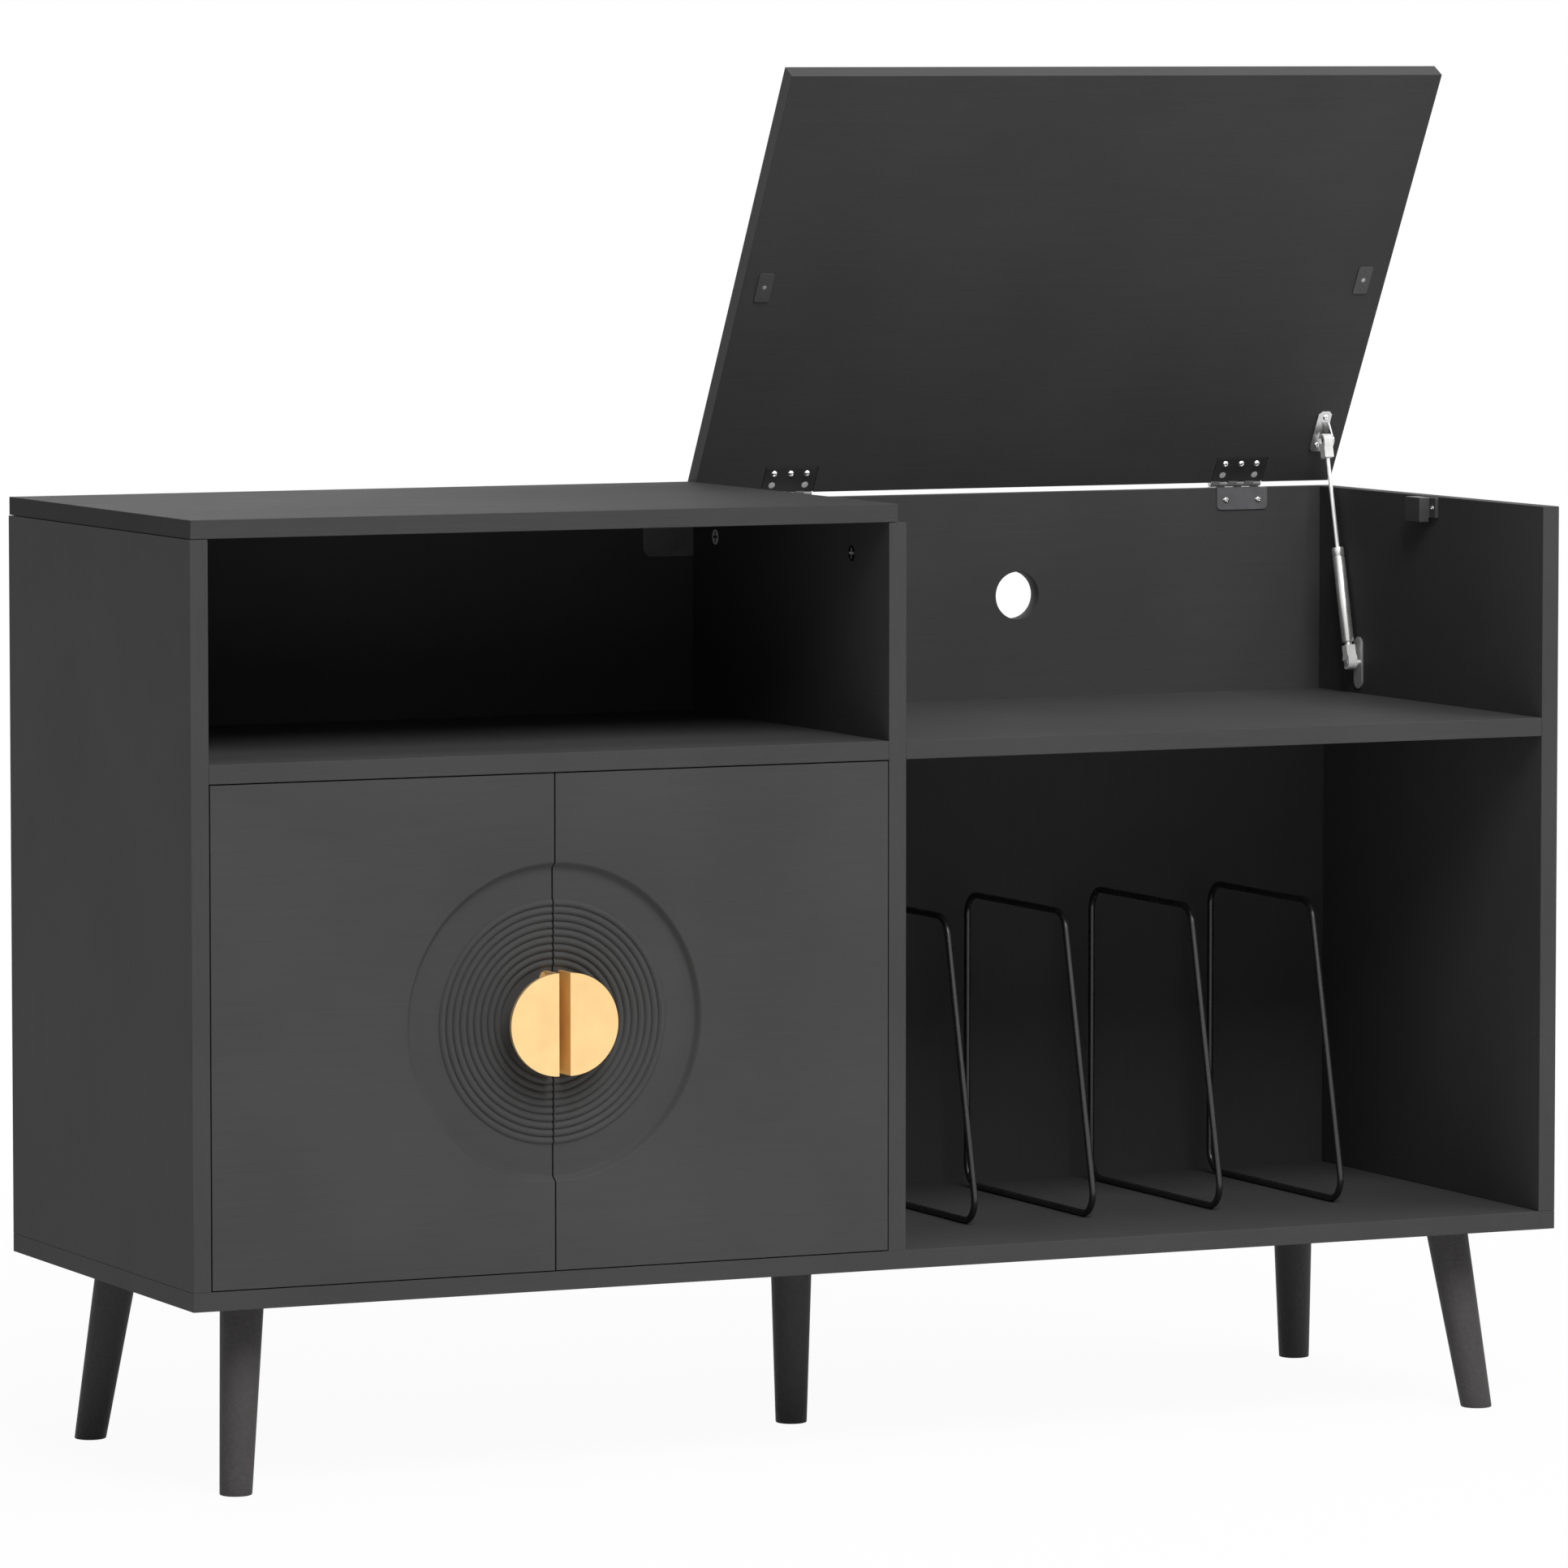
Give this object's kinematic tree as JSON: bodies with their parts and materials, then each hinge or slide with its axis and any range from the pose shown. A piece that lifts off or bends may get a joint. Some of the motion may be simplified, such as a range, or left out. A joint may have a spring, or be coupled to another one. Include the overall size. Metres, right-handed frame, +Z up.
{
  "type": "record cabinet",
  "caption": "Low record cabinet on tapered legs: an open bay over a cupboard with a round ribbed door relief, a turntable bay under a strut-held lid, and a record bay with wire dividers.",
  "frame": {"origin": "on the floor at the middle of the cabinet, at the centre of the middle leg's foot", "axes": "+X to the right seen from the front, +Y to the back, +Z up"},
  "size_m": [1.2, 0.4264, 1.1035],
  "materials": {
    "cabinet_board": "black laminate, satin",
    "back_sheet": "thin black hardboard",
    "leg_wood": "black lacquer, fine texture",
    "black_steel": "satin black",
    "black_wire": "powder coated",
    "zinc_steel": "zinc plated",
    "strut_steel": "brushed",
    "rod_chrome": "polished",
    "white_plastic": "moulded",
    "black_plastic": "moulded",
    "gold_metal": "satin gold"
  },
  "bodies": {
    "cabinet": {"bottom_board": "cabinet_board", "left_side_panel": "cabinet_board", "divider_panel": "cabinet_board", "right_side_panel": "cabinet_board", "top_board": "cabinet_board", "left_shelf": "cabinet_board", "turntable_shelf": "cabinet_board", "upper_back_board": "cabinet_board", "left_back_sheet": "back_sheet", "right_back_sheet": "back_sheet", "back_corner_plate": "black_steel", "cam_lock_front": "zinc_steel", "cam_lock_rear": "zinc_steel", "leg_front_left": "leg_wood", "leg_front_left_plate": "black_steel", "leg_front_right": "leg_wood", "leg_front_right_plate": "black_steel", "leg_rear_left": "leg_wood", "leg_rear_left_plate": "black_steel", "leg_rear_right": "leg_wood", "leg_rear_right_plate": "black_steel", "leg_middle": "leg_wood", "leg_middle_plate": "black_steel", "record_divider_1": "black_wire", "record_divider_2": "black_wire", "record_divider_3": "black_wire", "record_divider_4": "black_wire", "hinge_back_leaf_left": "black_steel", "hinge_pin_left": "zinc_steel", "lid_catch_left": "black_plastic", "hinge_back_leaf_right": "black_steel", "hinge_pin_right": "zinc_steel", "lid_catch_right": "black_plastic", "strut_wall_bracket": "zinc_steel", "left_hinge_arm_upper": "zinc_steel", "left_hinge_arm_lower": "zinc_steel", "right_hinge_arm_upper": "zinc_steel", "right_hinge_arm_lower": "zinc_steel"},
    "lid": {"lid_board": "cabinet_board", "hinge_lid_leaf_left": "black_steel", "hinge_lid_leaf_right": "black_steel", "strike_plate_left": "zinc_steel", "strike_plate_right": "zinc_steel", "strut_lid_bracket": "zinc_steel"},
    "strut_cylinder": {"strut_tube": "strut_steel", "strut_lower_socket": "white_plastic"},
    "strut_rod": {"strut_rod": "rod_chrome", "strut_upper_socket": "white_plastic"},
    "left_door": {"left_door": "cabinet_board", "left_handle": "gold_metal", "left_door_cup_upper": "zinc_steel", "left_door_cup_lower": "zinc_steel"},
    "right_door": {"right_door": "cabinet_board", "right_handle": "gold_metal", "right_door_cup_upper": "zinc_steel", "right_door_cup_lower": "zinc_steel"}
  },
  "joints": [
    {"name": "lid_hinge", "type": "hinge", "parent": "cabinet", "child": "lid", "pos_m": [0.3, 0.19824, 0.7487], "axis": [-1, 0, 0], "range_deg": [-60.8, 0], "stiffness_Nm_per_rad": 3, "springref_deg": 57.3},
    {"name": "strut_swing", "type": "hinge", "parent": "cabinet", "child": "strut_cylinder", "pos_m": [0.5765, 0.1136, 0.598], "axis": [-1, 0, 0], "range_deg": [-0.02, 0.3]},
    {"name": "rod_slide", "type": "slide", "parent": "strut_cylinder", "child": "strut_rod", "axis": [0, 0.24, 0.9708], "range_m": [-0.0545, 0]},
    {"name": "left_door_hinge", "type": "hinge", "parent": "cabinet", "child": "left_door", "pos_m": [-0.5835, -0.2005, 0.361], "axis": [0, 0, -1], "range_deg": [0, 95]},
    {"name": "right_door_hinge", "type": "hinge", "parent": "cabinet", "child": "right_door", "pos_m": [-0.009, -0.2005, 0.361], "axis": [0, 0, 1], "range_deg": [0, 95]}
  ],
  "couplings": [
    {"joint": "strut_swing", "follows": "lid_hinge", "ratio": -0.004656},
    {"joint": "rod_slide", "follows": "lid_hinge", "m_per_rad": 0.050487}
  ]
}
